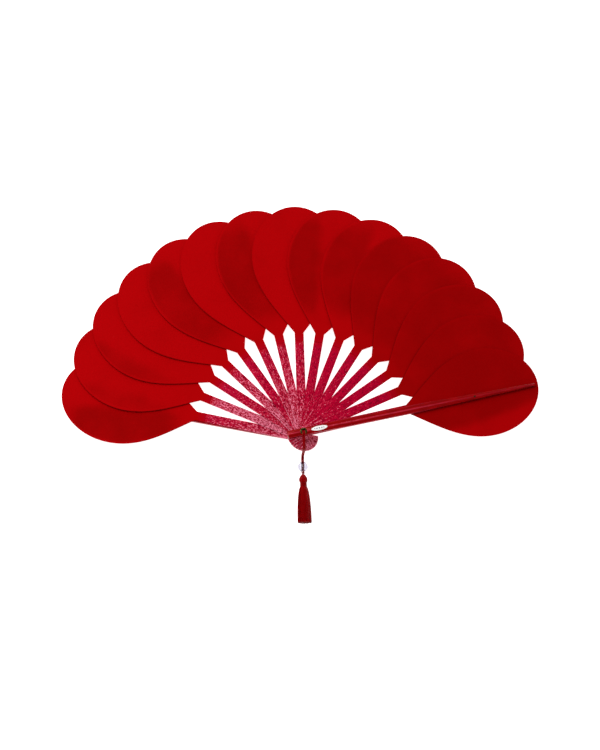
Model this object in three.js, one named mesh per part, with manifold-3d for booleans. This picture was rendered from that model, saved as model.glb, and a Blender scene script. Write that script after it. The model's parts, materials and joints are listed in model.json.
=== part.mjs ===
// A folding hand fan: fifteen flat wooden sticks turn on one hollow pivot between two guard sticks, and each
// stick carries its own teardrop petal of silk. The petals overlap like shingles when the fan is open and lie
// one above another when it is shut. A cord with a glass bead and a tassel leaves through the pivot.
//
// Frame: millimetres, +Z up. The pivot's axis is Z and the origin is the middle of its flat back face. The open
// fan lies on its back, its mid-line along +Y, its front guard on top at the right (+X).
//
// A leaf (stick and petal) is drawn pointing along +Y with its back face at z = 0, then turned about Z to its
// own angle and raised to its own layer.

import * as THREE from 'three';
import { mergeVertices } from 'three/addons/utils/BufferGeometryUtils.js';
import Module from 'manifold-3d';

const wasm = await Module();
wasm.setup();

// ---- driving dimensions, in mm and degrees ----------------------------------------------------------------

// the open fan
const LEAF_COUNT = 15;
const OPEN_SPAN = 155.1;            // from the first stick to the last
const GUARD_LEAD = 1.0;             // each guard stands this far outside its neighbouring stick

// the stack at the pivot
const STICK_THICK = 1.0;
const RUNNING_GAP = 0.15;           // between two sticks, and between a stick and a guard
const SEAT_GAP = 0.1;               // between pieces that lie flat on each other and turn together

// a stick: a flat blade, then a thin tongue that the petal is glued to
const STICK_WIDTH = 8.2;
const STICK_TAIL = 14.8;            // rounded tail, measured from the pivot
const BLADE_END = 88.7;
const TONGUE_THICK = 0.45;
const TONGUE_ROOT = 3.4;            // tongue width where it leaves the neck
const TONGUE_TIP = 2.0;
const NECK_SLOPE = 8.0;             // length over which the neck narrows to the tongue
const TONGUE_SHORT = 9.0;           // the tongue stops this far inside the petal's top

// a petal
const PETAL_THICK = 0.3;            // silk on its stiff backing
const FLARE_START = 97.0;           // the sides leave the stick here
const FLARE_ANGLE = 36.0;           // angle between side and stick where they part
const FLARE_PULL = 26.6;            // how long the side keeps that direction
const PETAL_WIDEST = 170.0;
const PETAL_WIDTH = 82.3;
const SIDE_PULL = 30.5;             // how long the side runs straight up before the widest place
const PETAL_TOP = 220.2;

// the guards
const GUARD_TAIL = 14.5;
const GUARD_THICK = 3.0;
const GUARD_EDGE = 2.5;             // thickness along its two edges, below the ridge
const GUARD_RIDGE = 1.4;            // width of the flat along the ridge
const GUARD_HEAD_WIDTH = 6.6;
const GUARD_BELLY_WIDTH = 7.5;
const GUARD_BELLY_START = 45.0;
const GUARD_BELLY_END = 95.0;
const GUARD_TIP_WIDTH = 2.4;
const GUARD_TAPER = 1.24;           // 1 is a straight taper, more keeps the width longer
const GUARD_SHORT = 4.0;            // the guard stops this far inside the petal's top

// the pivot: a hollow rivet with a closed back, and a collar on the front
const RIVET_BORE = 1.5;             // radius of the hollow that the cord comes out of
const RIVET_WALL = 0.4;
const RIVET_CLEARANCE = 0.3;
const RIVET_HEAD_OVERHANG = 1.1;    // the back head's radius beyond the tube's
const RIVET_HEAD_THICK = 0.6;
const RIVET_FLOOR = 0.8;            // solid length behind the bore, past the head
const COLLAR_WIDTH = 0.8;
const COLLAR_THICK = 0.7;
const RIM_STANDS_PROUD = 0.1;

// a brad that pins each guard to its outer petal
const BRAD_PLACE = 159.5;
const BRAD_HEAD_RADIUS = 0.9;
const BRAD_HEAD_HEIGHT = 0.4;
const BRAD_SHANK_RADIUS = 0.45;
const BRAD_CLEARANCE = 0.3;

// the oval label on the front guard
const LABEL_PLACE = 14.6;
const LABEL_LENGTH = 15.6;
const LABEL_WIDTH = 4.4;
const LABEL_THICK = 0.2;

// the tassel, which lies along -Y; places are distances from the pivot
const STRAND_RADIUS = 0.65;
const BEAD_PLACE = 27.6;
const BEAD_RADIUS = 4.65;
const STRAND_CLEARANCE = 0.35;
const KNOT_RADIUS = 1.5;
const KNOT_LENGTH = 1.8;
const CROWN_LENGTH = 8.4;
const CROWN_RADIUS = 3.7;
const CROWN_TOP_RADIUS = 1.0;
const CROWN_NECK_RADIUS = 2.9;
const BINDING_LENGTH = 2.2;
const BINDING_RADIUS = 3.1;
const SKIRT_LENGTH = 34.0;
const SKIRT_TOP_RADIUS = 2.9;
const SKIRT_END_WIDTH = 13.2;
const SKIRT_END_HEIGHT = 8.4;
const SKIRT_SHOULDER = 0.6;         // below 1 the skirt opens early, just under its binding
const MEETING_GAP = 0.3;            // between neighbouring pieces on the cord

// The route of one strand: [sideways from the middle, y, z]. It climbs through the rivet, bends over the collar and
// crosses above the tails, at the height that lets every tail pass under it as the fan folds. It drops beyond them
// and runs level through the bead. The other strand mirrors it.
const STRAND_ROUTE = [
  [0.72, 0.0, 19.0], [0.72, 0.0, 20.5], [0.72, 0.0, 22.0], [0.72, 0.0, 23.2], [0.72, -0.05, 24.2],
  [0.72, -0.4, 25.3], [0.72, -1.3, 26.2], [0.72, -2.6, 26.6], [0.72, -4.0, 26.4], [0.72, -5.4, 25.8],
  [0.72, -6.9, 25.32], [0.72, -8.6, 25.12], [0.72, -10.4, 25.1], [0.72, -12.3, 25.1], [0.72, -14.2, 25.05],
  [0.72, -15.6, 24.65], [0.72, -16.6, 23.6], [0.72, -17.05, 22.1], [0.72, -17.15, 20.0], [0.72, -17.2, 17.5],
  [0.72, -17.25, 15.0], [0.72, -17.3, 12.5], [0.72, -17.45, 10.1], [0.72, -17.95, 7.8], [0.72, -19.1, 5.9],
  [0.72, -20.9, 4.9], [0.72, -22.9, 4.7], [0.72, -25.2, 4.7], [0.72, -27.6, 4.7], [0.72, -30.0, 4.7],
  [0.72, -32.2, 4.7],
];
const STRAND_STEPS = 72;
const STRAND_SIDES = 8;

// ---- what follows from them -------------------------------------------------------------------------------

const ROUND_STEPS = 32;
const LEAF_STEP = OPEN_SPAN / (LEAF_COUNT - 1);
const PITCH = STICK_THICK + RUNNING_GAP;
const REAR_GUARD_BACK = RIVET_HEAD_THICK + SEAT_GAP;
const REAR_GUARD_FACE = REAR_GUARD_BACK + GUARD_THICK;
const FIRST_STICK = REAR_GUARD_FACE + RUNNING_GAP;
const FRONT_GUARD_BACK = FIRST_STICK + LEAF_COUNT * PITCH;
const FRONT_GUARD_TOP = FRONT_GUARD_BACK + GUARD_THICK;
const COLLAR_BACK = FRONT_GUARD_TOP + SEAT_GAP;
const RIVET_TOP = COLLAR_BACK + COLLAR_THICK + RIM_STANDS_PROUD;
const RIVET_RADIUS = RIVET_BORE + RIVET_WALL;
const RIVET_HEAD_RADIUS = RIVET_RADIUS + RIVET_HEAD_OVERHANG;
const PIVOT_HOLE = RIVET_RADIUS + RIVET_CLEARANCE;
const COLLAR_INNER = RIVET_RADIUS + RIVET_CLEARANCE;
const COLLAR_RADIUS = COLLAR_INNER + COLLAR_WIDTH;
const GUARD_TIP = PETAL_TOP - GUARD_SHORT;
const TONGUE_END = PETAL_TOP - TONGUE_SHORT;
const BEAD_BORE = Math.max(...STRAND_ROUTE.slice(-4).map((p) => p[0])) + STRAND_RADIUS + STRAND_CLEARANCE;
const BEAD_HALF = Math.sqrt(BEAD_RADIUS ** 2 - BEAD_BORE ** 2);
const CORD_END = -STRAND_ROUTE.at(-1)[1];
const TASSEL_AXIS_HEIGHT = STRAND_ROUTE.at(-1)[2];
const KNOT_START = Math.max(CORD_END, BEAD_PLACE + BEAD_HALF) + MEETING_GAP;
const CROWN_START = KNOT_START + KNOT_LENGTH + MEETING_GAP;
const BINDING_START = CROWN_START + CROWN_LENGTH + MEETING_GAP;
const SKIRT_START = BINDING_START + BINDING_LENGTH + MEETING_GAP;

// ---- finishes ---------------------------------------------------------------------------------------------

const finish = (color, roughness, metalness = 0) =>
  new THREE.MeshStandardMaterial({ color, roughness, metalness });

const FINISH = {
  stick: () => finish(0xb80830, 0.45),
  petal: () => finish(0xa00002, 0.7),
  guard: () => finish(0x900004, 0.3),
  rivet: () => finish(0x6b5a2c, 0.35, 1),
  brad: () => finish(0x4a3a22, 0.4, 1),
  label: () => finish(0xf4f2f0, 0.5),
  cord: () => finish(0x8b0004, 0.8),
  bead: () => finish(0xf2eef2, 0.05),
  tassel: () => finish(0x7c0002, 0.75),
};

// ---- joining and cutting ----------------------------------------------------------------------------------

/** A closed three.js geometry as a solid that can be joined and cut. */
function toSolid(geometry) {
  const plain = geometry.clone();
  plain.deleteAttribute('normal');
  plain.deleteAttribute('uv');
  const merged = mergeVertices(plain, 1e-4);
  return new wasm.Manifold(new wasm.Mesh({
    numProp: 3,
    vertProperties: new Float32Array(merged.attributes.position.array),
    triVerts: new Uint32Array(merged.index.array),
  }));
}

/** A solid as a three.js geometry. */
function toGeometry(solid) {
  const mesh = solid.getMesh();
  const geometry = new THREE.BufferGeometry();
  geometry.setAttribute('position', new THREE.BufferAttribute(new Float32Array(mesh.vertProperties), 3));
  geometry.setIndex(new THREE.BufferAttribute(new Uint32Array(mesh.triVerts), 1));
  geometry.computeVertexNormals();
  return geometry;
}

/** A cylinder standing on Z, from one height to another. */
function post(radius, low, high, y = 0) {
  const cylinder = new THREE.CylinderGeometry(radius, radius, high - low, ROUND_STEPS);
  cylinder.rotateX(Math.PI / 2);
  cylinder.translate(0, y, (low + high) / 2);
  return cylinder;
}

/** A flat plate: an outline in X and Y, from z = low upwards. */
function plate(shape, thick, low = 0, curveSegments = 12) {
  const geometry = new THREE.ExtrudeGeometry(shape, { depth: thick, bevelEnabled: false, curveSegments });
  geometry.translate(0, 0, low);
  return geometry;
}

// ---- sticks and petals ------------------------------------------------------------------------------------

/** The blade's outline: parallel sides, and a tail that is an arc about the pivot. */
function bladeShape() {
  const half = STICK_WIDTH / 2;
  const corner = Math.asin(half / STICK_TAIL);
  const shape = new THREE.Shape();
  shape.moveTo(half, BLADE_END);
  shape.lineTo(-half, BLADE_END);
  shape.absarc(0, 0, STICK_TAIL, -Math.PI / 2 - corner, -Math.PI / 2 + corner, false);
  shape.closePath();
  const hole = new THREE.Path();
  hole.absarc(0, 0, PIVOT_HOLE, 0, 2 * Math.PI, true);
  shape.holes.push(hole);
  return shape;
}

/** The tongue's outline: as wide as the blade along the neck, then narrowing to a rounded tip. */
function tongueShape() {
  const half = STICK_WIDTH / 2;
  const tip = TONGUE_TIP / 2;
  const start = BLADE_END - TONGUE_TIP;
  const shape = new THREE.Shape();
  shape.moveTo(half, start);
  shape.lineTo(half, FLARE_START);
  shape.lineTo(TONGUE_ROOT / 2, FLARE_START + NECK_SLOPE);
  shape.lineTo(tip, TONGUE_END - tip);
  shape.absarc(0, TONGUE_END - tip, tip, 0, Math.PI, false);
  shape.lineTo(-TONGUE_ROOT / 2, FLARE_START + NECK_SLOPE);
  shape.lineTo(-half, FLARE_START);
  shape.lineTo(-half, start);
  shape.closePath();
  return shape;
}

/** A stick: blade and tongue share their back face, at z = 0. */
function stickGeometry() {
  const blade = toSolid(plate(bladeShape(), STICK_THICK, 0, ROUND_STEPS / 2));
  const tongue = toSolid(plate(tongueShape(), TONGUE_THICK, 0, 4));
  return toGeometry(blade.add(tongue));
}

/** A petal's outline: a neck as wide as the stick, sides that swing out, and half an ellipse on top. */
function petalShape() {
  const neck = STICK_WIDTH / 2;
  const half = PETAL_WIDTH / 2;
  const start = BLADE_END + MEETING_GAP;
  const flare = THREE.MathUtils.degToRad(FLARE_ANGLE);
  const flareX = neck + FLARE_PULL * Math.sin(flare);
  const flareY = FLARE_START + FLARE_PULL * Math.cos(flare);
  const sideY = PETAL_WIDEST - SIDE_PULL;
  const shape = new THREE.Shape();
  shape.moveTo(neck, start);
  shape.lineTo(neck, FLARE_START);
  shape.bezierCurveTo(flareX, flareY, half, sideY, half, PETAL_WIDEST);
  shape.absellipse(0, PETAL_WIDEST, half, PETAL_TOP - PETAL_WIDEST, 0, Math.PI, false);
  shape.bezierCurveTo(-half, sideY, -flareX, flareY, -neck, FLARE_START);
  shape.lineTo(-neck, start);
  shape.closePath();
  return shape;
}

// ---- guards -----------------------------------------------------------------------------------------------

/** Half the guard's width at a distance along it. */
function guardHalfWidth(y) {
  const { smoothstep } = THREE.MathUtils;
  const swell = smoothstep(y, 0, GUARD_BELLY_START);
  const head = GUARD_HEAD_WIDTH + (GUARD_BELLY_WIDTH - GUARD_HEAD_WIDTH) * swell;
  const along = Math.max(0, (y - GUARD_BELLY_END) / (GUARD_TIP - GUARD_BELLY_END));
  return (head - (GUARD_BELLY_WIDTH - GUARD_TIP_WIDTH) * along ** GUARD_TAPER) / 2;
}

/**
 * A guard: its flat inner face is at z = 0 and its outer face is a low roof with a narrow flat ridge. Six-sided
 * sections stand across it, from tail to tip, with a hole for the rivet and one for the brad.
 */
function guardGeometry() {
  const sections = 30;
  const points = [];
  for (let i = 0; i <= sections; i += 1) {
    const y = -GUARD_TAIL + (GUARD_TIP + GUARD_TAIL) * (i / sections);
    const half = guardHalfWidth(y);
    const ridge = Math.min(GUARD_RIDGE / 2, half / 2);
    points.push([half, y, 0], [half, y, GUARD_EDGE], [ridge, y, GUARD_THICK]);
    points.push([-ridge, y, GUARD_THICK], [-half, y, GUARD_EDGE], [-half, y, 0]);
  }
  const sides = 6;
  const faces = [];
  for (let i = 0; i < sections; i += 1) {
    for (let j = 0; j < sides; j += 1) {
      const a = i * sides + j;
      const b = i * sides + ((j + 1) % sides);
      faces.push(a, a + sides, b, b, a + sides, b + sides);
    }
  }
  const last = sections * sides;
  for (let j = 1; j < sides - 1; j += 1) {
    faces.push(0, j, j + 1);
    faces.push(last, last + j + 1, last + j);
  }
  const body = new THREE.BufferGeometry();
  body.setAttribute('position', new THREE.Float32BufferAttribute(points.flat(), 3));
  body.setIndex(faces);
  const pivotHole = toSolid(post(PIVOT_HOLE, -1, GUARD_THICK + 1));
  const bradHole = toSolid(post(BRAD_SHANK_RADIUS + BRAD_CLEARANCE, -1, GUARD_THICK + 1, BRAD_PLACE));
  return toGeometry(toSolid(body).subtract(pivotHole).subtract(bradHole));
}

/** A brad standing in a guard drawn with its inner face at z = 0: a low domed head on a plain shank. */
function bradGeometry() {
  const seat = GUARD_THICK + SEAT_GAP;
  const points = [new THREE.Vector2(0, MEETING_GAP)];
  points.push(new THREE.Vector2(BRAD_SHANK_RADIUS, MEETING_GAP));
  points.push(new THREE.Vector2(BRAD_SHANK_RADIUS, seat));
  const steps = 4;
  for (let i = 0; i < steps; i += 1) {
    const turn = (Math.PI / 2) * (i / steps);
    points.push(new THREE.Vector2(BRAD_HEAD_RADIUS * Math.cos(turn), seat + BRAD_HEAD_HEIGHT * Math.sin(turn)));
  }
  points.push(new THREE.Vector2(0, seat + BRAD_HEAD_HEIGHT));
  const brad = new THREE.LatheGeometry(points, 16);
  brad.rotateX(Math.PI / 2);
  brad.translate(0, BRAD_PLACE, 0);
  return brad;
}

/** The oval label, lying on the front guard's ridge. */
function labelGeometry() {
  const shape = new THREE.Shape();
  shape.absellipse(0, LABEL_PLACE, LABEL_WIDTH / 2, LABEL_LENGTH / 2, 0, 2 * Math.PI, false);
  return plate(shape, LABEL_THICK, GUARD_THICK + SEAT_GAP, 24);
}

// ---- pivot ------------------------------------------------------------------------------------------------

/** A closed ring or disc turned about Z, from [radius, height] pairs. */
function turned(pairs) {
  const lathe = new THREE.LatheGeometry(pairs.map(([r, h]) => new THREE.Vector2(r, h)), ROUND_STEPS);
  lathe.rotateX(Math.PI / 2);
  return lathe;
}

/** The rivet: a flat closed head at the back and an open tube up through the whole stack. */
function rivetGeometry() {
  const floor = RIVET_HEAD_THICK + RIVET_FLOOR;
  return turned([
    [0, 0], [RIVET_HEAD_RADIUS, 0], [RIVET_HEAD_RADIUS, RIVET_HEAD_THICK], [RIVET_RADIUS, RIVET_HEAD_THICK],
    [RIVET_RADIUS, RIVET_TOP], [RIVET_BORE, RIVET_TOP], [RIVET_BORE, floor], [0, floor],
  ]);
}

/** The collar: a ring with a bevelled outer edge around the rivet's front end. */
function collarGeometry() {
  const bevel = COLLAR_WIDTH / 3;
  const top = COLLAR_BACK + COLLAR_THICK;
  return turned([
    [COLLAR_INNER, COLLAR_BACK], [COLLAR_RADIUS, COLLAR_BACK], [COLLAR_RADIUS, top - bevel],
    [COLLAR_RADIUS - bevel, top], [COLLAR_INNER, top], [COLLAR_INNER, COLLAR_BACK],
  ]);
}

// ---- tassel -----------------------------------------------------------------------------------------------

/** One strand of the cord, on the side given by 1 or -1. */
function strandGeometry(side) {
  const path = new THREE.CatmullRomCurve3(STRAND_ROUTE.map(([x, y, z]) => new THREE.Vector3(side * x, y, z)));
  const section = new THREE.Shape();
  for (let i = 0; i < STRAND_SIDES; i += 1) {
    const turn = (2 * Math.PI * i) / STRAND_SIDES;
    const point = [STRAND_RADIUS * Math.cos(turn), STRAND_RADIUS * Math.sin(turn)];
    if (i === 0) section.moveTo(...point);
    else section.lineTo(...point);
  }
  section.closePath();
  return new THREE.ExtrudeGeometry(section, { steps: STRAND_STEPS, extrudePath: path });
}

/** A piece turned about the tassel's level axis, from [radius, distance from the pivot] pairs. */
function turnedOnCord(pairs) {
  const lathe = new THREE.LatheGeometry(pairs.map(([r, d]) => new THREE.Vector2(r, -d)).reverse(), 24);
  lathe.translate(0, 0, TASSEL_AXIS_HEIGHT);
  return lathe;
}

/** The glass bead: a ball bored through for the two strands. */
function beadGeometry() {
  const steps = 12;
  const turn = Math.asin(BEAD_BORE / BEAD_RADIUS);
  const pairs = [];
  for (let i = 0; i <= steps; i += 1) {
    const angle = turn + (Math.PI - 2 * turn) * (i / steps);
    pairs.push([BEAD_RADIUS * Math.sin(angle), BEAD_PLACE - BEAD_RADIUS * Math.cos(angle)]);
  }
  pairs.push(pairs[0]);
  return turnedOnCord(pairs);
}

/** The knot under the bead, half as wide at its ends as at its middle. */
function knotGeometry() {
  const end = KNOT_START + KNOT_LENGTH;
  const shoulder = KNOT_LENGTH / 4;
  return turnedOnCord([
    [0, KNOT_START], [KNOT_RADIUS / 2, KNOT_START], [KNOT_RADIUS, KNOT_START + shoulder],
    [KNOT_RADIUS, end - shoulder], [KNOT_RADIUS / 2, end], [0, end],
  ]);
}

/** The tassel's crown: it swells like a sine from its small top to its widest place and in again to its neck. */
function crownGeometry() {
  const steps = 12;
  const pairs = [[0, CROWN_START]];
  for (let i = 0; i <= steps; i += 1) {
    const t = i / steps;
    const straight = CROWN_TOP_RADIUS + (CROWN_NECK_RADIUS - CROWN_TOP_RADIUS) * t;
    const middle = (CROWN_TOP_RADIUS + CROWN_NECK_RADIUS) / 2;
    pairs.push([straight + (CROWN_RADIUS - middle) * Math.sin(Math.PI * t), CROWN_START + CROWN_LENGTH * t]);
  }
  pairs.push([0, CROWN_START + CROWN_LENGTH]);
  return turnedOnCord(pairs);
}

/** The thread wound round the tassel's neck. */
function bindingGeometry() {
  const end = BINDING_START + BINDING_LENGTH;
  const round = BINDING_LENGTH / 4;
  return turnedOnCord([
    [0, BINDING_START], [BINDING_RADIUS - round, BINDING_START], [BINDING_RADIUS, BINDING_START + round],
    [BINDING_RADIUS, end - round], [BINDING_RADIUS - round, end], [0, end],
  ]);
}

/** How far the skirt has opened, from 0 at its binding to 1 at its cut end, at a share t of its length. */
function skirtOpened(t) {
  return Math.sin((Math.PI / 2) * t ** SKIRT_SHOULDER);
}

/** The skirt of threads: round at the top, and opening to a flattened oval at its cut end. */
function skirtGeometry() {
  const steps = 12;
  const halfWidth = (t) => SKIRT_TOP_RADIUS + (SKIRT_END_WIDTH / 2 - SKIRT_TOP_RADIUS) * skirtOpened(t);
  const halfHeight = (t) => SKIRT_TOP_RADIUS + (SKIRT_END_HEIGHT / 2 - SKIRT_TOP_RADIUS) * skirtOpened(t);
  const pairs = [[0, SKIRT_START]];
  for (let i = 0; i <= steps; i += 1) {
    pairs.push([halfWidth(i / steps), SKIRT_START + (SKIRT_LENGTH * i) / steps]);
  }
  pairs.push([0, SKIRT_START + SKIRT_LENGTH]);
  const skirt = turnedOnCord(pairs);
  const position = skirt.attributes.position;
  for (let i = 0; i < position.count; i += 1) {
    const t = THREE.MathUtils.clamp((-position.getY(i) - SKIRT_START) / SKIRT_LENGTH, 0, 1);
    const flat = halfHeight(t) / halfWidth(t);
    position.setZ(i, TASSEL_AXIS_HEIGHT + (position.getZ(i) - TASSEL_AXIS_HEIGHT) * flat);
  }
  return skirt;
}

// ---- the fan ----------------------------------------------------------------------------------------------

/** A mesh with its node's name. */
function named(name, geometry, material) {
  const mesh = new THREE.Mesh(geometry, material);
  mesh.name = name;
  return mesh;
}

/** A group turned so that what is drawn along +Y points at the given angle from +X, at the given height. */
function pointing(degrees, height) {
  const group = new THREE.Group();
  group.rotation.z = THREE.MathUtils.degToRad(degrees - 90);
  group.position.z = height;
  return group;
}

const fan = new THREE.Group();
const leftAngle = 90 + OPEN_SPAN / 2;
const stick = stickGeometry();
const petal = plate(petalShape(), PETAL_THICK, TONGUE_THICK + SEAT_GAP, 20);

for (let k = 1; k <= LEAF_COUNT; k += 1) {
  const number = String(k).padStart(2, '0');
  const leaf = pointing(leftAngle - (k - 1) * LEAF_STEP, FIRST_STICK + (k - 1) * PITCH);
  leaf.add(named(`rib_${number}`, stick, FINISH.stick()));
  leaf.add(named(`petal_${number}`, petal, FINISH.petal()));
  fan.add(leaf);
}

const guard = guardGeometry();
const brad = bradGeometry();

const front = pointing(90 - OPEN_SPAN / 2 - GUARD_LEAD, FRONT_GUARD_BACK);
front.add(named('front_guard', guard, FINISH.guard()));
front.add(named('front_brad', brad, FINISH.brad()));
front.add(named('guard_label', labelGeometry(), FINISH.label()));
fan.add(front);

const rear = pointing(leftAngle + GUARD_LEAD, REAR_GUARD_FACE);
const turnedOver = new THREE.Group();
turnedOver.rotation.y = Math.PI;
turnedOver.add(named('rear_guard', guard, FINISH.guard()));
turnedOver.add(named('rear_brad', brad, FINISH.brad()));
rear.add(turnedOver);
fan.add(rear);

fan.add(named('pivot_rivet', rivetGeometry(), FINISH.rivet()));
fan.add(named('pivot_collar', collarGeometry(), FINISH.rivet()));

fan.add(named('cord_strand_right', strandGeometry(1), FINISH.cord()));
fan.add(named('cord_strand_left', strandGeometry(-1), FINISH.cord()));
fan.add(named('glass_bead', beadGeometry(), FINISH.bead()));
fan.add(named('cord_knot', knotGeometry(), FINISH.cord()));
fan.add(named('tassel_crown', crownGeometry(), FINISH.tassel()));
fan.add(named('tassel_binding', bindingGeometry(), FINISH.tassel()));
fan.add(named('tassel_skirt', skirtGeometry(), FINISH.tassel()));

export default fan;
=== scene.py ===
"""The looks of a folding fan: silk petals on dyed wooden sticks, lacquered guards, an eyelet and a tassel.

Every piece is made in metres in the part's frame: the pivot's axis is Z, the open fan's mid-line is +Y and
the fan lies on its back. A leaf (one stick and its petal) has coordinates of its own: x across it, y along it
from the pivot, z from back to front. A finish that follows a leaf reads them from the attribute "leaf".
"""

import json
import logging
import math
from dataclasses import dataclass
from enum import Enum

import bmesh
import bpy
import numpy as np
from mathutils import Matrix, Vector

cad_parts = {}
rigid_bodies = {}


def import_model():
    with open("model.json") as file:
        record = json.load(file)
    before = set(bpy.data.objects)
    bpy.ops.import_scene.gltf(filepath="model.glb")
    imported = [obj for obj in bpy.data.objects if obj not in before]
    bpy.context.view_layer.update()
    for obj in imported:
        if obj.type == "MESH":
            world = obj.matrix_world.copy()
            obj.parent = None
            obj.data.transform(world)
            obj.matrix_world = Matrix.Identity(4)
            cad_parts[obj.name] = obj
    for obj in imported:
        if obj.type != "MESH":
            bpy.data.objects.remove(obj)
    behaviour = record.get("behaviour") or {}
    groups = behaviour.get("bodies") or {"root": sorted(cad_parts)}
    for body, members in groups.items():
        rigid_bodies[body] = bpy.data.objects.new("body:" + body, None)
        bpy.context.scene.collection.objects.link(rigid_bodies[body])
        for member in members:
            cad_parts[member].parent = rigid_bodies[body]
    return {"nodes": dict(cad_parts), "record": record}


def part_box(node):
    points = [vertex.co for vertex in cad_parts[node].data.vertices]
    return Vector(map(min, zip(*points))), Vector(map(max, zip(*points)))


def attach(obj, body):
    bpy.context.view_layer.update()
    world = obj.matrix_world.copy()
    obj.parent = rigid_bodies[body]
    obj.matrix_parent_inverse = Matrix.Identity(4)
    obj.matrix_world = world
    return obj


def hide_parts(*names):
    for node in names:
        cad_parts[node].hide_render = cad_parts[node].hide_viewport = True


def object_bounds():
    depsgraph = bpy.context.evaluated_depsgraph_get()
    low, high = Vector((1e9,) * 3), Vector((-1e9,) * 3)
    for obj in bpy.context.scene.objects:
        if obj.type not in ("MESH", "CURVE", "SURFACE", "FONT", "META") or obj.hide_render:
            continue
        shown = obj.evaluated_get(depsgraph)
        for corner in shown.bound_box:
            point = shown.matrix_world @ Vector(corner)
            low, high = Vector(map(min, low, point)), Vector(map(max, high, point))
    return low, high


for leftover in list(bpy.data.objects):
    bpy.data.objects.remove(leftover)
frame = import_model()
CAD_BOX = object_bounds()

Array = np.ndarray
Material = bpy.types.Material
Piece = bpy.types.Object
Socket = bpy.types.NodeSocket
Span = tuple[float, float]
Tree = bpy.types.NodeTree

LOG = logging.getLogger("folding_fan")
MM = 0.001
ALONG = "leaf"
# the attribute "tone": painted shade on the petals; on the sticks, how much grain and painted highlight show
PAINTED_LIGHT_AND_GRAIN = "tone"
# the attribute "edge": how strong the painted shadow line along each petal's left edge is
PAINTED_EDGE_SHADOW = "edge"


# ---- small helpers ----


def linear(colour: str) -> tuple[float, float, float, float]:
    """Turns an sRGB hex colour into linear red, green, blue and an alpha of 1.

    Args:
        colour: Six hex digits after a #.

    Returns:
        The four values.
    """
    parts = [int(colour[i : i + 2], 16) / 255 for i in (1, 3, 5)]
    red, green, blue = (p / 12.92 if p <= 0.04045 else ((p + 0.055) / 1.055) ** 2.4 for p in parts)
    return red, green, blue, 1.0


def joined(*parts: Array) -> Array:
    """Stacks arrays of coordinates into an array of points, along a new last axis."""
    return np.stack(parts, axis=-1)


def smoothstep(value: Array, low: float, high: float) -> Array:
    """Rises from 0 at low to 1 at high, with level ends."""
    t = np.clip((value - low) / (high - low), 0.0, 1.0)
    return t * t * (3 - 2 * t)


def finished(name: str, mesh: bpy.types.Mesh, sharp: float) -> Piece:
    """Shades a mesh smooth and puts it in the scene, at the origin.

    Args:
        name: The object's name.
        mesh: Its mesh.
        sharp: Edges that bend more than this angle stay sharp.

    Returns:
        The object.
    """
    mesh.polygons.foreach_set("use_smooth", np.ones(len(mesh.polygons), dtype=bool))
    mesh.set_sharp_from_angle(angle=sharp)
    made = bpy.data.objects.new(name, mesh)
    bpy.context.scene.collection.objects.link(made)
    return made


def mesh_object(name: str, points: Array, faces: list) -> Piece:
    """Makes an object whose faces are turned outwards.

    Args:
        name: The object's name.
        points: Its points, in metres.
        faces: Lists of point numbers.

    Returns:
        The object.
    """
    mesh = bpy.data.meshes.new(name)
    mesh.from_pydata(points.reshape(-1, 3).tolist(), [], faces)
    shape = bmesh.new()
    shape.from_mesh(mesh)
    bmesh.ops.recalc_face_normals(shape, faces=shape.faces)
    shape.to_mesh(mesh)
    shape.free()
    return finished(name, mesh, math.radians(40))


def grid_faces(rows: int, columns: int, wrap_rows: bool = False) -> Array:
    """Gives the quads of a stack of rings whose points are numbered ring by ring.

    Args:
        rows: How many rings.
        columns: How many points in each ring.
        wrap_rows: The last ring joins the first.

    Returns:
        An array of shape (quads, 4).
    """
    i = np.arange(rows if wrap_rows else rows - 1)[:, None]
    j = np.arange(columns)[None, :]
    i2, j2 = (i + 1) % rows, (j + 1) % columns
    corners = [i * columns + j, i * columns + j2, i2 * columns + j2, i2 * columns + j]
    return joined(*np.broadcast_arrays(*corners)).reshape(-1, 4)


def tube_object(name: str, rings: Array, closed: bool = False) -> Piece:
    """Makes a closed skin through a stack of rings.

    Args:
        name: The object's name.
        rings: An array of shape (rows, sides, 3).
        closed: The last ring joins the first. Otherwise a fan of triangles closes each end.

    Returns:
        The object.
    """
    rows, sides = rings.shape[:2]
    points = rings.reshape(-1, 3)
    faces = grid_faces(rows, sides, wrap_rows=closed).tolist()
    if not closed:
        points = np.vstack([points, rings[0].mean(axis=0), rings[-1].mean(axis=0)])
        j = np.arange(sides)
        k, middle, last = (j + 1) % sides, 0 * j + rows * sides, (rows - 1) * sides
        faces += joined(middle, k, j).tolist()
        faces += joined(middle + 1, last + j, last + k).tolist()
    return mesh_object(name, points, faces)


def around(sides: int) -> Array:
    """Returns evenly spaced angles, once round."""
    return np.arange(sides) * 2 * np.pi / sides


def turned(profile: Array, sides: int) -> Array:
    """Turns a profile about Z.

    Args:
        profile: An array of shape (rows, 2): radius and height.
        sides: Points in each ring.

    Returns:
        Rings of shape (rows, sides, 3): (radius cos t, radius sin t, height) for t once round.
    """
    t = around(sides)
    radius, height = profile[:, 0:1], profile[:, 1:2]
    return joined(radius * np.cos(t), radius * np.sin(t), height + 0 * t)


def write_attribute(made: Piece, name: str, values: Array) -> None:
    """Stores one vector or number for each point of a mesh.

    Args:
        made: The object.
        name: The attribute's name.
        values: An array of shape (count, 3) or (count,).
    """
    kind, key = ("FLOAT_VECTOR", "vector") if values.ndim == 2 else ("FLOAT", "value")
    attribute = made.data.attributes.new(name, kind, "POINT")
    attribute.data.foreach_set(key, values.astype(np.float32).ravel())


def points_of(made: Piece) -> Array:
    """Returns a mesh's points as an array of shape (count, 3)."""
    flat = np.empty(len(made.data.vertices) * 3, dtype=np.float32)
    made.data.vertices.foreach_get("co", flat)
    return flat.reshape(-1, 3)


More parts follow.
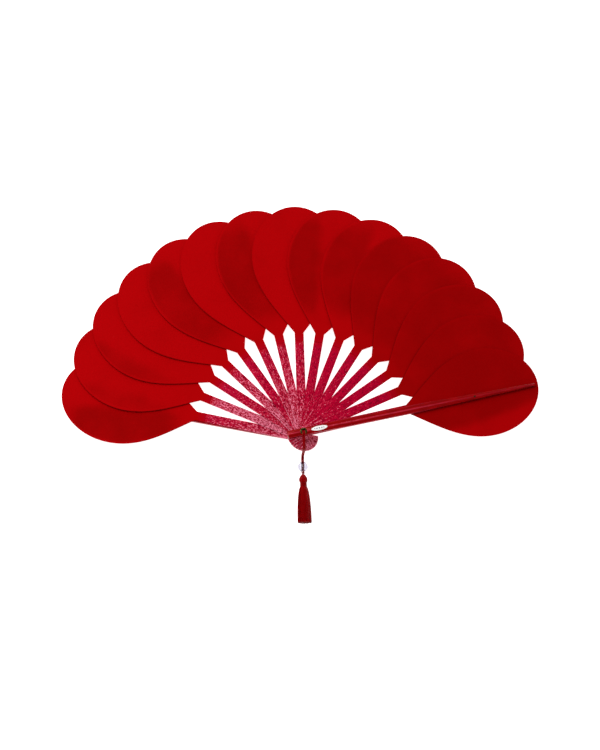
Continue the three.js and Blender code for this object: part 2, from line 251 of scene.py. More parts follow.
def dress(made: Piece, material: Material, body: str,
          node: str) -> Piece:
    """Gives a piece its finish and its place in the part.

    Args:
        made: The piece.
        material: Its finish.
        body: The body that it rides on.
        node: The CAD node that it replaces.

    Returns:
        The piece.
    """
    made.data.materials.clear()
    made.data.materials.append(material)
    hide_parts(node)
    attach(made, body)
    LOG.info("made %s", made.name)
    return made


# ---- nodes ----


def add(tree: Tree, kind: str, links: dict | None = None, **settings: object) -> bpy.types.Node:
    """Adds a node.

    Args:
        tree: The tree that gets it.
        kind: Its type name.
        links: What goes into each input, by name or number: a value or a socket.
        **settings: Its own properties.

    Returns:
        The node.
    """
    node = tree.nodes.new(kind)
    for key, value in settings.items():
        setattr(node, key, value)
    for key, value in (links or {}).items():
        if isinstance(value, Socket):
            tree.links.new(value, node.inputs[key])
        else:
            node.inputs[key].default_value = value
    return node


def new_material(name: str) -> tuple[Material, Tree]:
    """Starts a material.

    Args:
        name: Its name.

    Returns:
        The material and its empty tree.
    """
    material = bpy.data.materials.new(name)
    material.use_nodes = True
    material.node_tree.nodes.clear()
    return material, material.node_tree


def surfaced(made: Material, links: dict) -> Material:
    """Ends a material with a Principled shader, whose inputs are given as add() takes them."""
    shader = add(made.node_tree, "ShaderNodeBsdfPrincipled", links)
    add(made.node_tree, "ShaderNodeOutputMaterial", {"Surface": shader.outputs["BSDF"]})
    return made


def stored(tree: Tree, name: str, output: str = "Fac") -> Socket:
    """Reads an attribute that write_attribute() stored."""
    return add(tree, "ShaderNodeAttribute", attribute_name=name).outputs[output]


def leaf_axes(tree: Tree) -> tuple[Socket, Socket, Socket]:
    """Reads the leaf's coordinates: all of them, the one across it and the one along it."""
    leaf = stored(tree, ALONG, "Vector")
    parts = add(tree, "ShaderNodeSeparateXYZ", {0: leaf}).outputs
    return leaf, parts[0], parts[1]


def object_place(tree: Tree) -> Socket:
    """Reads the Object coordinates."""
    return add(tree, "ShaderNodeTexCoord").outputs["Object"]


def drawn_out(tree: Tree, where: Socket, share: float) -> Socket:
    """Shrinks coordinates along Y to a share, which draws a pattern out along Y."""
    return add(tree, "ShaderNodeMapping", {0: where, "Scale": (1.0, share, 1.0)}).outputs[0]


def noise(tree: Tree, where: Socket, size: float, detail: float, roughness: float = 0.5) -> Socket:
    """Gives noise from 0 to 1 whose blots are about size metres wide."""
    return add(tree, "ShaderNodeTexNoise", {"Vector": where, "Scale": 1 / size, "Detail": detail,
                                            "Roughness": roughness}).outputs["Fac"]


def sums(tree: Tree, operation: str, *values: float | Socket, clamp: bool = False) -> Socket:
    """Does one sum on numbers or sockets."""
    links = dict(enumerate(values))
    return add(tree, "ShaderNodeMath", links, operation=operation, use_clamp=clamp).outputs[0]


def ramp(tree: Tree, value: Socket, span: tuple, goals: tuple = (0.0, 1.0), smooth: bool = False) -> Socket:
    """Carries a value from its span onto its goals, numbers or sockets, and holds it level beyond them."""
    return add(tree, "ShaderNodeMapRange", dict(enumerate((value, *span, *goals))),
               interpolation_type="SMOOTHSTEP" if smooth else "LINEAR").outputs[0]


def mixed(tree: Tree, share: Socket, start: str | Socket, end: str | Socket) -> Socket:
    """Mixes two colours, each a hex colour or a socket. A share of 0 gives the start and 1 the end."""
    first, second = (linear(c) if isinstance(c, str) else c for c in (start, end))
    return add(tree, "ShaderNodeMix", {0: share, 6: first, 7: second}, data_type="RGBA").outputs[2]


def bump(tree: Tree, height: Socket, strength: float, distance: float, **under: Socket) -> Socket:
    """Raises the surface by a height. Normal= takes another bump to lie on."""
    links = {"Height": height, "Strength": strength, "Distance": distance, **under}
    return add(tree, "ShaderNodeBump", links).outputs[0]


# ---- finishes ----


@dataclass(frozen=True)
class PetalSilk:
    """Plain-woven dyed silk on a stiff backing: saturated red, satin rather than shiny, with slow clouds.

    Light that the thread mirrors is red too, because it passes the dye, so the specular tint is red.
    """

    # light and deep are the two ends of the painted shade that the attribute "tone" picks between
    light: str = "#A60004"
    deep: str = "#880001"
    soaked: str = "#A4001E"  # the stick's crimson dye, which reaches the petal's neck
    # the colour of the painted shadow along each petal's left edge, where it lies on the petal beside it
    line: str = "#4A0000"
    gleam: str = "#D00000"
    thread: float = 0.5 * MM  # twice as coarse as the real thread, so that the weave can show
    cloud: float = 30 * MM
    fold: float = 16 * MM
    neck: Span = (88 * MM, 97 * MM)

    def material(self) -> Material:
        """Builds the material. The attribute "tone" is painted shade, from 0, deep, to 1, light.

        Returns:
            The material. Its weave is sin x times sin y, with one thread to a wave.
        """
        made, tree = new_material("petal_woven_silk")
        leaf, across, along = leaf_axes(tree)
        clouds = sums(tree, "SUBTRACT", noise(tree, leaf, self.cloud, 4.0, 0.55), 0.5)
        # painted shade from the attribute "tone", over random clouds of dye
        clouds_and_painted_shade = sums(tree, "ADD", clouds, stored(tree, PAINTED_LIGHT_AND_GRAIN))
        dyed = mixed(tree, ramp(tree, clouds_and_painted_shade, (-0.1, 1.0), smooth=True), self.deep, self.light)
        soaked = mixed(tree, ramp(tree, along, self.neck, (0.5, 0.0), smooth=True), dyed, self.soaked)
        waves = [sums(tree, "SINE", sums(tree, "MULTIPLY", axis, 2 * math.pi / self.thread))
                 for axis in (across, along)]
        weave = sums(tree, "MULTIPLY", *waves)
        woven = bump(tree, weave, 0.25, 0.04 * MM)
        return surfaced(made, {
            # a painted shadow line along the petal's left edge
            "Base Color": mixed(tree, stored(tree, PAINTED_EDGE_SHADOW), soaked, self.line),
            "Roughness": ramp(tree, weave, (-1.0, 1.0), (0.58, 0.44)), "Specular IOR Level": 0.4,
            "Specular Tint": linear(self.gleam), "Sheen Weight": 0.06, "Sheen Roughness": 0.35,
            "Sheen Tint": linear(self.gleam),
            "Normal": bump(tree, noise(tree, leaf, self.fold, 1.0), 0.2, 0.5 * MM, Normal=woven),
        })


@dataclass(frozen=True)
class DyedWood:
    """Thin sawn wood dyed crimson and waxed, its grain drawn as pale pink specks that are partly painted
    highlight.

    The specks lie along the stick, with dark pores between them, and are fewer towards the petal.
    """

    crimson: str = "#AE0028"
    # painted highlight: the pale pink of the flecks
    painted_glint: str = "#F08CA6"
    pore: str = "#5A0012"
    silk: str = "#A80006"
    gleam: str = "#E03060"
    speckle: float = 1.1 * MM
    hair: float = 0.55 * MM
    stretch: float = 0.4  # a fleck is two and a half times as long as it is wide
    highlight_band: Span = (3.2 * MM, 4.0 * MM)  # the band of painted edge highlight, from the middle line of a stick 8.2 mm wide
    # along the stick, the painted edge highlight fades over this span
    highlight_fade: Span = (15 * MM, 60 * MM)
    neck: Span = (82 * MM, 91 * MM)

    def material(self) -> Material:
        """Builds the material. The attribute "tone" says how much of the wood the pale flecks take; they are
        grain and painted highlight.

        Returns:
            The material, whose edges carry a painted highlight, strongest near the pivot, and whose end is the
            petal's red.
        """
        made, tree = new_material("stick_dyed_wood")
        leaf, across, along = leaf_axes(tree)
        fibres = drawn_out(tree, leaf, self.stretch)
        fine = sums(tree, "MULTIPLY_ADD", noise(tree, fibres, self.hair, 1.0), 0.5, -0.25)
        grain = sums(tree, "ADD", noise(tree, fibres, self.speckle, 2.0, 0.7), fine)
        # painted highlight along the long edges, strongest near the pivot
        edge_highlight_strength = ramp(tree, along, self.highlight_fade, (0.55, 0.12))
        painted_highlight = ramp(tree, sums(tree, "ABSOLUTE", across), self.highlight_band, (0.0, edge_highlight_strength))
        # flecks of grain and painted highlight, with the painted edge highlight added
        grain_and_glint = sums(tree, "ADD", stored(tree, PAINTED_LIGHT_AND_GRAIN), painted_highlight)
        lifted = sums(tree, "MULTIPLY_ADD", grain_and_glint, 0.34, grain)
        flecked = mixed(tree, ramp(tree, lifted, (0.63, 0.83), (0.0, 0.85)), self.crimson, self.painted_glint)
        pored = mixed(tree, ramp(tree, grain, (0.47, 0.33), (0.0, 0.85)), flecked, self.pore)
        return surfaced(made, {
            "Base Color": mixed(tree, ramp(tree, along, self.neck, smooth=True), pored, self.silk),
            "Roughness": ramp(tree, grain, (0.3, 0.7), (0.55, 0.3)), "Specular IOR Level": 0.35,
            "Specular Tint": linear(self.gleam), "Normal": bump(tree, grain, 0.6, 0.15 * MM),
        })


@dataclass(frozen=True)
class GuardLacquer:
    """Carved hardwood under dark red lacquer: glassy, with faint long grain, and a painted highlight along its
    ridge and edges.
    """

    red: str = "#960003"
    # the colour of the painted highlight
    painted_highlight: str = "#B92C42"
    dark: str = "#780002"
    gleam: str = "#C01020"
    grain: float = 0.8 * MM
    stretch: float = 0.06
    patch: float = 6 * MM
    # along the guard, the painted ridge highlight fades over this span
    highlight_fade: Span = (90 * MM, 150 * MM)
    ridge: Span = (0.3 * MM, 0.9 * MM)
    edge: Span = (3.1 * MM, 3.6 * MM)

    def material(self) -> Material:
        """Builds the material.

        Returns:
            The material. A highlight is painted along its ridge, strongest towards the pivot, and along its
            edges, in patches.
        """
        made, tree = new_material("guard_red_lacquer")
        leaf, across, along = leaf_axes(tree)
        grain = noise(tree, drawn_out(tree, leaf, self.stretch), self.grain, 3.0)
        base = mixed(tree, ramp(tree, grain, (0.42, 0.62)), self.dark, self.red)
        aside = sums(tree, "ABSOLUTE", across)
        # painted highlight along the ridge and the edges, in patches
        ridge = ramp(tree, aside, self.ridge, (ramp(tree, along, self.highlight_fade, (1.3, 0.3)), 0.0))
        ridge_and_edge_highlight = sums(tree, "ADD", ridge, ramp(tree, aside, self.edge, (0.0, 0.9)))
        highlight_band = sums(tree, "MULTIPLY", ridge_and_edge_highlight, noise(tree, leaf, self.patch, 2.0), clamp=True)
        return surfaced(made, {
            "Base Color": mixed(tree, highlight_band, base, self.painted_highlight), "Roughness": 0.3,
            "Specular Tint": linear(self.gleam), "Coat Weight": 0.08, "Coat Roughness": 0.1,
            "Normal": bump(tree, grain, 0.15, 0.05 * MM),
        })


@dataclass(frozen=True)
class AgedBrass:
    """Stamped brass gone dark olive, with brighter metal where the cord and fingers wear it."""

    name: str = "eyelet_aged_brass"
    bright: str = "#84703C"
    aged: str = "#2C2812"
    patch: float = 1.2 * MM

    def material(self) -> Material:
        """Builds the material.

        Returns:
            The material, in patches of both colours.
        """
        made, tree = new_material(self.name)
        spots = noise(tree, object_place(tree), self.patch, 3.0)
        return surfaced(made, {
            "Base Color": mixed(tree, ramp(tree, spots, (0.45, 0.75), (0.0, 0.8)), self.aged, self.bright),
            "Metallic": 1.0, "Roughness": 0.36, "Normal": bump(tree, spots, 0.1, 0.03 * MM),
        })


@dataclass(frozen=True)
class Thread:
    """Twisted rayon thread: soft, with a silky gleam along each fibre."""

    name: str
    light: str
    deep: str
    gleam: str = "#D01010"
    fibre: float = 0.25 * MM
    stretch: float = 0.08

    def material(self) -> Material:
        """Builds the material.

        Returns:
            The material. Its fibres run along Y, the way the tassel lies.
        """
        made, tree = new_material(self.name)
        fibres = noise(tree, drawn_out(tree, object_place(tree), self.stretch), self.fibre, 2.0)
        return surfaced(made, {
            "Base Color": mixed(tree, ramp(tree, fibres, (0.35, 0.65)), self.deep, self.light),
            "Roughness": 0.45, "Specular IOR Level": 0.4, "Specular Tint": linear(self.gleam),
            "Sheen Weight": 0.05, "Sheen Roughness": 0.4, "Sheen Tint": linear(self.gleam),
            "Normal": bump(tree, fibres, 0.3, 0.06 * MM),
        })


@dataclass(frozen=True)
class BeadGlass:
    """Clear pressed glass, polished."""

    tint: str = "#C9C8D6"
    ripple: float = 2 * MM

    def material(self) -> Material:
        """Builds the material.

        Returns:
            The material, with ripples too slight to see except in its reflections.
        """
        made, tree = new_material("bead_clear_glass")
        return surfaced(made, {
            "Base Color": linear(self.tint), "Roughness": 0.02, "IOR": 1.5, "Transmission Weight": 1.0,
            "Normal": bump(tree, noise(tree, object_place(tree), self.ripple, 1.0), 0.08, 0.1 * MM),
        })


@dataclass(frozen=True)
class StickerPaper:
    """Coated white paper with a thin grey rule of short dashes across it."""

    white: str = "#F6F4F2"
    grey: str = "#5E6270"
    dash: float = 2.2 * MM
    rule_half_width: float = 0.45 * MM
    rule_half_length: float = 4.6 * MM
    middle: float = 14.6 * MM
    pulp: float = 0.3 * MM

    def material(self) -> Material:
        """Builds the material.

        Returns:
            The material. A dash lies wherever the cosine of the place along the rule is above -0.2.
        """
        made, tree = new_material("sticker_coated_paper")
        leaf, across, along = leaf_axes(tree)
        near = sums(tree, "LESS_THAN", sums(tree, "ABSOLUTE", across), self.rule_half_width)
        shifted = sums(tree, "SUBTRACT", along, self.middle)
        inside = sums(tree, "LESS_THAN", sums(tree, "ABSOLUTE", shifted), self.rule_half_length)
        wave = sums(tree, "COSINE", sums(tree, "MULTIPLY", shifted, 2 * math.pi / self.dash))
        dashes = sums(tree, "GREATER_THAN", wave, -0.2)
        ink = sums(tree, "MULTIPLY", sums(tree, "MULTIPLY", near, inside), dashes)
        return surfaced(made, {
            "Base Color": mixed(tree, ink, self.white, self.grey), "Roughness": 0.42,
            "Normal": bump(tree, noise(tree, leaf, self.pulp, 2.0), 0.08, 0.02 * MM),
        })


# ---- where the leaves are ----


class Side(Enum):
    """Which way a guard faces."""

    FRONT = "front"
    REAR = "rear"


@dataclass(frozen=True)
class Leaf:
    """One stick's place in the open fan."""

    number: int
    angle: float  # from +X, in radians
    body: str

    @property
    def stick(self) -> str:
        """The stick's node."""
        return f"rib_{self.number:02d}"

    @property
    def petal(self) -> str:
        """The petal's node."""
        return f"petal_{self.number:02d}"

    def own(self, made: Piece, lead: float = 0.0) -> Array:
        """Gives a piece's points in the leaf's coordinates, for a piece that stands lead outside the leaf."""
        return turn_about_z(points_of(made), math.pi / 2 - self.angle - lead)


def turn_about_z(points: Array, angle: float) -> Array:
    """Turns points about Z by an angle in radians."""
    c, s = math.cos(angle), math.sin(angle)
    x, y, z = points[..., 0], points[..., 1], points[..., 2]
    return joined(x * c - y * s, x * s + y * c, z)


def leaves() -> list[Leaf]:
    """Works out every leaf's angle from the record.

    Returns:
        The leaves from left to right. The fan opens evenly about +Y, and each leaf's share of the fold is its
        coupling's ratio.
    """
    behaviour = frame["record"]["behaviour"]
    fold = next(j for j in behaviour["joints"] if j["name"] == "fan_fold")
    span = math.radians(fold["range_deg"][1])
    shares = [0.0, *(c["ratio"] for c in behaviour["couplings"]), 1.0]
    bodies = [fold["parent"]]
    bodies += [next(j["child"] for j in behaviour["joints"] if j["name"] == c["joint"])
               for c in behaviour["couplings"]]
    bodies.append(fold["child"])
    return [Leaf(k + 1, math.pi / 2 + span * (0.5 - share), body)
            for k, (share, body) in enumerate(zip(shares, bodies))]


# ---- camera, floor and light ----


@dataclass
class Studio:
    """A long lens above the fan, a pale floor and soft white light from the upper left."""

    azimuth: float = -17.06
    elevation: float = 72.71
    roll: float = 15.91
    distance: float = 2.355
    lens: float = 125.2
    aim: tuple[float, float, float] = (-0.0012, 0.0540, 0.0203)
    floor_size: float = 6.0
    floor_gap: float = 0.2 * MM
    floor_blot: float = 2.0
    world_strength: float = 0.5
    # Each lamp: its name, where it stands, what it points at, its side (m) and its power (W). The left sticks
    # mirror the small box.
    lamps: tuple[tuple, ...] = (
        ("key", (-1.1, 0.9, 1.3), (-0.05, 0.08, 0.0), 1.8, 18.5),
        ("left_box", (-0.30, 0.36, 1.0), (-0.10, 0.05, 0.0), 0.45, 3.6),
    )

    def camera(self) -> None:
        """Makes the camera: its back axis from azimuth and elevation, then a turn about that axis."""
        a, e, r = (math.radians(v) for v in (self.azimuth, self.elevation, self.roll))
        back = Vector((math.sin(a) * math.cos(e), -math.cos(a) * math.cos(e), math.sin(e)))
        level = Vector((math.cos(a), math.sin(a), 0.0))
        right = math.cos(r) * level + math.sin(r) * back.cross(level)
        pivot = Vector((0.0, 0.0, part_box("rib_01")[0][2]))
        place = pivot + back * self.distance
        back = (place - Vector(self.aim)).normalized()
        right = (right - back * right.dot(back)).normalized()
        turn = Matrix((right, back.cross(right), back)).transposed()
        data = bpy.data.cameras.new("camera")
        data.lens = self.lens
        data.clip_end = 50.0
        made = bpy.data.objects.new("camera", data)
        made.matrix_world = Matrix.Translation(place) @ turn.to_4x4()
        bpy.context.scene.collection.objects.link(made)
        bpy.context.scene.camera = made

    def floor(self) -> None:
        """Makes the floor, a hair below the fan. It glows a little, as a light table does."""
        half = self.floor_size / 2
        low = CAD_BOX[0][2] - self.floor_gap
        corners = np.array([[-half, -half, low], [half, -half, low], [half, half, low], [-half, half, low]])
        made = mesh_object("floor", corners, [[0, 1, 2, 3]])
        material, tree = new_material("floor_pale")
        blots = noise(tree, object_place(tree), self.floor_blot, 1.0)
        made.data.materials.append(surfaced(material, {
            "Base Color": mixed(tree, blots, "#F4F4F4", "#FAFAFA"), "Roughness": 0.9,
            "Emission Color": linear("#FFFFFF"), "Emission Strength": 0.9,
        }))

    def lamp(self, name: str, place: tuple, target: tuple, size: float, power: float) -> None:
        """Adds one square soft light.

        Args:
            name: Its name.
            place: Where it stands.
            target: What it points at.
            size: Its side.
            power: Its power in watts.
        """
        data = bpy.data.lights.new(name, "AREA")
        data.shape = "SQUARE"
        data.size = size
        data.energy = power
        made = bpy.data.objects.new(name, data)
        made.location = place
        made.rotation_mode = "QUATERNION"
        made.rotation_quaternion = (Vector(target) - Vector(place)).to_track_quat("-Z", "Y")
        bpy.context.scene.collection.objects.link(made)

    def light(self) -> None:
        """Sets the white surroundings and both lamps, and keeps colours as they are."""
        world = bpy.data.worlds.new("studio")
        world.use_nodes = True
        white = world.node_tree.nodes["Background"].inputs
        white[0].default_value, white[1].default_value = linear("#FFFFFF"), self.world_strength
        bpy.context.scene.world = world
        for lamp in self.lamps:
            self.lamp(*lamp)
        bpy.context.scene.view_settings.view_transform = "Standard"
        bpy.context.scene.view_settings.look = "None"


# ---- cord and tassel ----


# The route of one strand of the cord, in millimetres: how far it stands to the side, and (y, z) along it. It
# climbs through the rivet, crosses above the tails, so that they can pass under it as the fan folds, drops
# beyond them and runs level through the bead.
STRAND_ASIDE = 0.72
STRAND_ROUTE = [
    (0.0, 19.0), (0.0, 20.5), (0.0, 22.0), (0.0, 23.2), (-0.05, 24.2), (-0.4, 25.3), (-1.3, 26.2),
    (-2.6, 26.6), (-4.0, 26.4), (-5.4, 25.8), (-6.9, 25.32), (-8.6, 25.12), (-10.4, 25.1), (-12.3, 25.1),
    (-14.2, 25.05), (-15.6, 24.65), (-16.6, 23.6), (-17.05, 22.1), (-17.15, 20.0), (-17.2, 17.5),
    (-17.25, 15.0), (-17.3, 12.5), (-17.45, 10.1), (-17.95, 7.8), (-19.1, 5.9), (-20.9, 4.9), (-22.9, 4.7),
    (-25.2, 4.7), (-27.6, 4.7), (-30.0, 4.7), (-32.2, 4.7),
]


def run_along(line: Array) -> Array:
    """Returns the distance along a line at each of its points."""
    return np.concatenate([[0.0], np.cumsum(np.linalg.norm(np.diff(line, axis=0), axis=1))])


def smooth_line(points: Array, step: float) -> Array:
    """Carries a Catmull-Rom curve through points and spaces it evenly.

    Args:
        points: An array of shape (count, 3).
        step: The distance between the points that it gives.

    Returns:
        An array of points on the curve.
    """
    ends = np.vstack([2 * points[0] - points[1], points, 2 * points[-1] - points[-2]])
    t = np.linspace(0, 1, 24, endpoint=False)[None, :, None]
    a, b, c, d = (ends[i : len(ends) - 3 + i, None, :] for i in range(4))
    curve = 0.5 * (2 * b + (c - a) * t + (2 * a - 5 * b + 4 * c - d) * t**2 + (3 * b - a - 3 * c + d) * t**3)
    curve = np.vstack([curve.reshape(-1, 3), points[-1]])
    run = run_along(curve)
    even = np.linspace(0, run[-1], max(2, round(run[-1] / step) + 1))
    return joined(*(np.interp(even, run, curve[:, i]) for i in range(3)))


def twisted_rings(line: Array, radius: float, lay: float, plies: int = 3,
                  lobe: float = 0.11) -> Array:
    """Carries a lobed section along a line, turning as it goes, as laid cord does.

    Args:
        line: The centre line.
        radius: The cord's mean radius.
        lay: The length of one full turn.
        plies: How many lobes.
        lobe: Each lobe's share of the radius.

    Returns:
        Rings. A point's radius is radius (1 + lobe cos(plies (t - turn))).
    """
    along = np.gradient(line, axis=0)
    along /= np.linalg.norm(along, axis=1, keepdims=True)
    aside = np.array([1.0, 0.0, 0.0]) - along * along[:, 0:1]
    aside /= np.linalg.norm(aside, axis=1, keepdims=True)
    over = np.cross(along, aside)
    t = around(5 * plies)
    size = radius * (1 + lobe * np.cos(plies * (t[None, :] - 2 * np.pi * run_along(line)[:, None] / lay)))
    round_ = aside[:, None] * np.cos(t)[None, :, None] + over[:, None] * np.sin(t)[None, :, None]
    return line[:, None, :] + size[..., None] * round_


@dataclass
class Tassel:
    """The cord, bead, knot and tassel. All of them ride on the tassel's body and lie along -Y."""

    body: str = "tassel"
    strand_radius: float = 0.65 * MM
    strand_spread: float = 0.92  # the share of their distance at which the strands' lobes touch
    strand_lay: float = 2.6 * MM
    strand_step: float = 0.25 * MM
    bead_lip: float = 0.25 * MM
    knot_strand: float = 0.42 * MM
    crown_ridges: int = 30
    crown_neck: float = 1.0 * MM
    crown_widens: float = 1.9 * MM
    crown_swells: float = 1.75 * MM
    ridge_depth: float = 0.035
    binding_turns: int = 6
    thread_count: int = 300
    thread_radius: float = 0.26 * MM
    thread_taper: float = 0.25
    skirt_neck: float = 2.8 * MM
    sway: float = 0.35 * MM
    shoulder: float = 0.6  # below 1 the skirt opens early, just under its binding
    cord_thread: Thread = Thread("cord_twisted_rayon", "#9A0008", "#640004")
    skirt_thread: Thread = Thread("tassel_rayon_threads", "#9C0005", "#600002")

    def lying(self, profile: Array, sides: int, node: str,
              ridge: float | Array = 1.0) -> Array:
        """Turns a profile about the line along -Y at a node's height.

        Args:
            profile: Radii and distances from the pivot, of shape (rows, 2).
            sides: Points in each ring.
            node: The CAD node.
            ridge: What each radius is multiplied by.

        Returns:
            The rings: what was turned about Z, with (x, y, z) made (x, -z, y).
        """
        low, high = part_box(node)
        x, y, z = np.moveaxis(turned(profile, sides), -1, 0)
        return joined(x * ridge, -z, y * ridge + (low[2] + high[2]) / 2)

    def strand(self, name: str, side: int, material: Material) -> tuple[Piece, Array]:
        """Makes one strand.

        Args:
            name: The CAD node that it stands for.
            side: 1 for the right strand and -1 for the left.
            material: Its finish.

        Returns:
            The piece and its centre line.
        """
        route = [(side * self.strand_spread * STRAND_ASIDE, y, z) for y, z in STRAND_ROUTE]
        line = smooth_line(np.array(route) * MM, self.strand_step)
        made = tube_object(f"{name}_laid", twisted_rings(line, self.strand_radius, self.strand_lay))
        return dress(made, material, self.body, name), line

    def bead(self) -> Piece:
        """Makes the bead from the box of its CAD node.

        Returns:
            The piece: a ball with a bore, whose lips are cut back a little.
        """
        low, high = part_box("glass_bead")
        middle, radius = -(low[1] + high[1]) / 2, (high[2] - low[2]) / 2
        half = (high[1] - low[1]) / 2
        bore = math.sqrt(radius**2 - half**2)
        start = math.asin((bore + self.bead_lip) / radius)
        t = np.linspace(start, math.pi - start, 40)
        outer = joined(radius * np.sin(t), middle - radius * np.cos(t))
        reach = radius * math.cos(start) - self.bead_lip
        s = np.linspace(1, -1, 10)
        inner = joined(bore + 0 * s, middle + reach * s)
        rings = self.lying(np.vstack([outer, inner]), 56, "glass_bead")
        made = tube_object("glass_bead_polished", rings, closed=True)
        return dress(made, BeadGlass().material(), self.body, "glass_bead")

    def knot(self, material: Material) -> Piece:
        """Makes the knot: a strand carried along a trefoil that fills the box of its CAD node.

        Args:
            material: Its finish.

        Returns:
            The piece. Its line is (sin t + 2 sin 2t, -0.9 sin 3t, cos t - 2 cos 2t), once round.
        """
        low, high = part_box("cord_knot")
        size = np.array(high) - np.array(low)
        t = np.linspace(0, 2 * np.pi, 120, endpoint=False)
        line = joined(np.sin(t) + 2 * np.sin(2 * t), -np.sin(3 * t) * 0.9, np.cos(t) - 2 * np.cos(2 * t))
        room = size / 2 - self.knot_strand
        line = line / np.abs(line).max(axis=0) * room + (np.array(high) + np.array(low)) / 2
        ahead = np.roll(line, -1, axis=0) - np.roll(line, 1, axis=0)
        ahead /= np.linalg.norm(ahead, axis=1, keepdims=True)
        out = line - line.mean(axis=0) + 1e-6
        out -= ahead * np.sum(out * ahead, axis=1, keepdims=True)
        out /= np.linalg.norm(out, axis=1, keepdims=True)
        over = np.cross(ahead, out)
        a = around(10)
        rings = line[:, None] + self.knot_strand * (out[:, None] * np.cos(a)[None, :, None]
                                                    + over[:, None] * np.sin(a)[None, :, None])
        made = tube_object("cord_knot_tied", rings, closed=True)
        return dress(made, material, self.body, "cord_knot")

    def crown(self, material: Material) -> Piece:
        """Makes the crown, with ridges where the threads fold over it.

        Args:
            material: Its finish.

        Returns:
            The piece. Its radius widens evenly, and swells by the sine of half a turn.
        """
        low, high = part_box("tassel_crown")
        sides = self.crown_ridges * 6
        t = np.linspace(0, 1, 40)
        swell = np.sin(np.pi * t)
        plain = self.crown_neck + self.crown_widens * t + self.crown_swells * swell
        plain *= smoothstep(t, -0.35, 0.06) * 0.5 + 0.5
        ridge = 1 - self.ridge_depth * (1 - np.cos(self.crown_ridges * around(sides))) * swell[:, None] ** 0.5
        profile = joined(plain, (high[1] - low[1]) * t - high[1])
        made = tube_object("tassel_crown_threads", self.lying(profile, sides, "tassel_crown", ridge))
        return dress(made, material, self.body, "tassel_crown")

    def binding(self, material: Material) -> Piece:
        """Makes the binding: thread wound round, so its outline is a row of half circles.

        Args:
            material: Its finish.

        Returns:
            The piece.
        """
        low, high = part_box("tassel_binding")
        start, length, radius = -high[1], high[1] - low[1], (high[2] - low[2]) / 2
        t = np.linspace(0, 1, self.binding_turns * 8 + 1)
        coil = length / self.binding_turns / 2
        outline = radius - coil + coil * np.abs(np.sin(np.pi * self.binding_turns * t)) ** 0.6
        profile = joined(outline, start + length * t)
        made = tube_object("tassel_binding_wound", self.lying(profile, 48, "tassel_binding"))
        return dress(made, material, self.body, "tassel_binding")

    def skirt(self, material: Material) -> Piece:
        """Makes the skirt: threads from a disc at the binding to an oval at the cut end.

        Args:
            material: Its finish.

        Returns:
            The piece. Each thread starts at polar place (root of share, golden angle times its number) in the
            disc, and opens by the sine of a quarter turn times t to the power shoulder, as in CAD.
        """
        low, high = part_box("tassel_skirt")
        start, length, middle = -high[1], high[1] - low[1], (low[2] + high[2]) / 2
        draw = np.random.default_rng(7)
        count, rows, sides = self.thread_count, 12, 5
        number = np.arange(count)[:, None]
        reach = np.sqrt((number + 0.5) / count)
        angle = number * math.pi * (3 - math.sqrt(5)) + draw.normal(0, 0.05, count)[:, None]
        t = np.linspace(0, 1, rows)
        opened = np.sin(np.pi / 2 * t**self.shoulder)
        sway = draw.normal(0, self.sway, (count, 2))[:, None, :] * (t**2 * (1 - 0.4 * t))[:, None]
        sway *= np.clip(1 - reach, 0, 1)[..., None]
        grown = [(high[k] - low[k]) / 2 - self.thread_radius - self.skirt_neck for k in (0, 2)]
        x = reach * np.cos(angle) * (self.skirt_neck + grown[0] * opened) + sway[..., 0]
        z = reach * np.sin(angle) * (self.skirt_neck + grown[1] * opened) + sway[..., 1]
        cut = length * (1 - np.abs(draw.normal(0, 0.012, count)))[:, None]
        centre = joined(x, -start - cut * t, z + middle)
        a = around(sides)
        section = joined(np.cos(a), 0 * a, np.sin(a))
        thin = self.thread_radius * (1 - self.thread_taper * t)
        rings = centre[:, :, None, :] + thin[:, None, None] * section
        first = number * rows * sides
        faces = (grid_faces(rows, sides) + first[..., None]).reshape(-1, 4).tolist()
        for end in (0, (rows - 1) * sides):
            faces += (np.arange(sides) + end + first).tolist()
        made = mesh_object("tassel_skirt_threads", rings, faces)
        return dress(made, material, self.body, "tassel_skirt")

    def build(self) -> None:
        cord = self.cord_thread.material()
        threads = self.skirt_thread.material()
        strands = [self.strand("cord_strand_right", 1, cord), self.strand("cord_strand_left", -1, cord)]
        knot = self.knot(cord)
        on_cord = [self.bead(), knot, self.crown(threads), self.binding(threads), self.skirt(threads)]


# ---- petals ----


